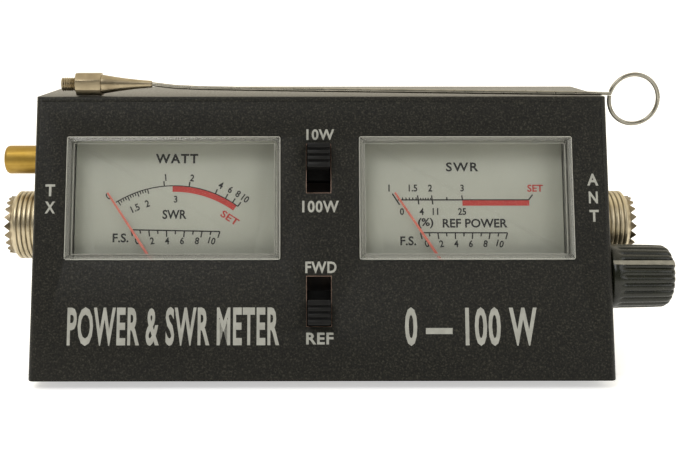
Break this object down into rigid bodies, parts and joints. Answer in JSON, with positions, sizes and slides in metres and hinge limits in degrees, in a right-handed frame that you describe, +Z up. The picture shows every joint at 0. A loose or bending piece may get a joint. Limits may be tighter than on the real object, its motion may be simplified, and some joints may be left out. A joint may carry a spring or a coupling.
{
  "type": "swr meter",
  "caption": "Sloped-front radio power and standing-wave meter with panel meters, slide switches, a calibration knob, coaxial sockets, an antenna post and a loose whip.",
  "frame": {"origin": "middle of the outline on the surface under the feet", "axes": "+X to the ANT socket side, +Y to the rear, +Z up; the panel slopes back from the -Y side"},
  "size_m": [0.1488, 0.0508, 0.0651],
  "materials": {
    "powder_coat": "fine textured black powder coat",
    "nickel": "nickel plate, satin",
    "zinc_steel": "zinc plated steel",
    "rubber": "matt black rubber",
    "clear_cover": "clear polystyrene, polished",
    "dial": "satin white paint with printed scales",
    "black_plastic": "matt moulded plastic",
    "soft_iron": "plated soft iron",
    "magnet": "ground magnet alloy",
    "brass": "bright brass",
    "coil": "enamelled copper winding",
    "needle_red": "matt red paint",
    "jewel": "polished ruby",
    "phenolic": "black phenolic laminate",
    "switch_plastic": "black nylon, satin",
    "knob_plastic": "dark moulded plastic, satin",
    "insulator": "cream PTFE",
    "silvered": "silver plated contact",
    "steel_wire": "bright stainless steel",
    "board": "paper laminate with solder",
    "diode_glass": "glass body",
    "resistor": "lacquered carbon film",
    "ceramic": "dipped ceramic",
    "wire_red": "PVC insulation"
  },
  "bodies": {
    "case": {"front_chassis": "powder_coat", "rear_cover": "powder_coat", "cover_screws": "zinc_steel", "rubber_feet": "rubber", "panel_nuts": "zinc_steel", "meter_cover_left": "clear_cover", "meter_cover_right": "clear_cover", "meter_dial_left": "dial", "meter_dial_right": "dial", "meter_base_left": "black_plastic", "meter_base_right": "black_plastic", "meter_yoke_left": "soft_iron", "meter_yoke_right": "soft_iron", "meter_core_left": "magnet", "meter_core_right": "magnet", "meter_bridge_left": "brass", "meter_bridge_right": "brass", "meter_hairsprings": "brass", "meter_jewels": "jewel", "meter_bridge_screws": "brass", "meter_dial_screws": "brass", "switch_board": "board", "switch_shell_power": "zinc_steel", "switch_shell_function": "zinc_steel", "switch_base_power": "phenolic", "switch_base_function": "phenolic", "pot_body": "zinc_steel", "pot_terminals": "silvered", "pot_washer": "zinc_steel", "pot_nut": "nickel", "tx_socket_shell": "nickel", "ant_socket_shell": "nickel", "tx_socket_insulator": "insulator", "ant_socket_insulator": "insulator", "tx_socket_contact": "silvered", "ant_socket_contact": "silvered", "socket_washers": "zinc_steel", "socket_nuts": "nickel", "antenna_post": "brass", "post_insulators": "phenolic", "post_nut": "brass", "coupler_board": "board", "board_screws": "zinc_steel", "line_conductor": "silvered", "board_diodes": "diode_glass", "board_resistors": "resistor", "board_capacitors": "ceramic", "hookup_wires": "wire_red"},
    "knob": {"pot_shaft": "zinc_steel", "cal_knob": "knob_plastic"},
    "power_slider": {"switch_slider_power": "switch_plastic", "switch_contact_power": "silvered"},
    "function_slider": {"switch_slider_function": "switch_plastic", "switch_contact_function": "silvered"},
    "left_needle": {"meter_needle_left": "needle_red", "meter_coil_left": "coil"},
    "right_needle": {"meter_needle_right": "needle_red", "meter_coil_right": "coil"},
    "whip": {"whip_ferrule": "nickel", "whip_wire": "steel_wire"}
  },
  "joints": [
    {"name": "knob_turn", "type": "hinge", "parent": "case", "child": "knob", "pos_m": [0.0672, -0.0105, 0.0209], "axis": [-1, 0, 0], "range_deg": [-86, 214]},
    {"name": "power_slide", "type": "slide", "parent": "case", "child": "power_slider", "axis": [0, -0.3304, -0.9439], "range_m": [0, 0.005]},
    {"name": "function_slide", "type": "slide", "parent": "case", "child": "function_slider", "axis": [0, 0.3304, 0.9439], "range_m": [0, 0.005]},
    {"name": "left_needle_swing", "type": "hinge", "parent": "case", "child": "left_needle", "pos_m": [-0.0342, -0.0153, 0.01782], "axis": [0, 0.9439, -0.3304], "range_deg": [0, 70.5], "stiffness_Nm_per_rad": 0.00002},
    {"name": "right_needle_swing", "type": "hinge", "parent": "case", "child": "right_needle", "pos_m": [0.0291, -0.0153, 0.01782], "axis": [0, 0.9439, -0.3304], "range_deg": [0, 70.5], "stiffness_Nm_per_rad": 0.00002},
    {"name": "whip_lift", "type": "slide", "parent": "case", "child": "whip", "axis": [0, 0, 1], "range_m": [0, 0.08]}
  ]
}
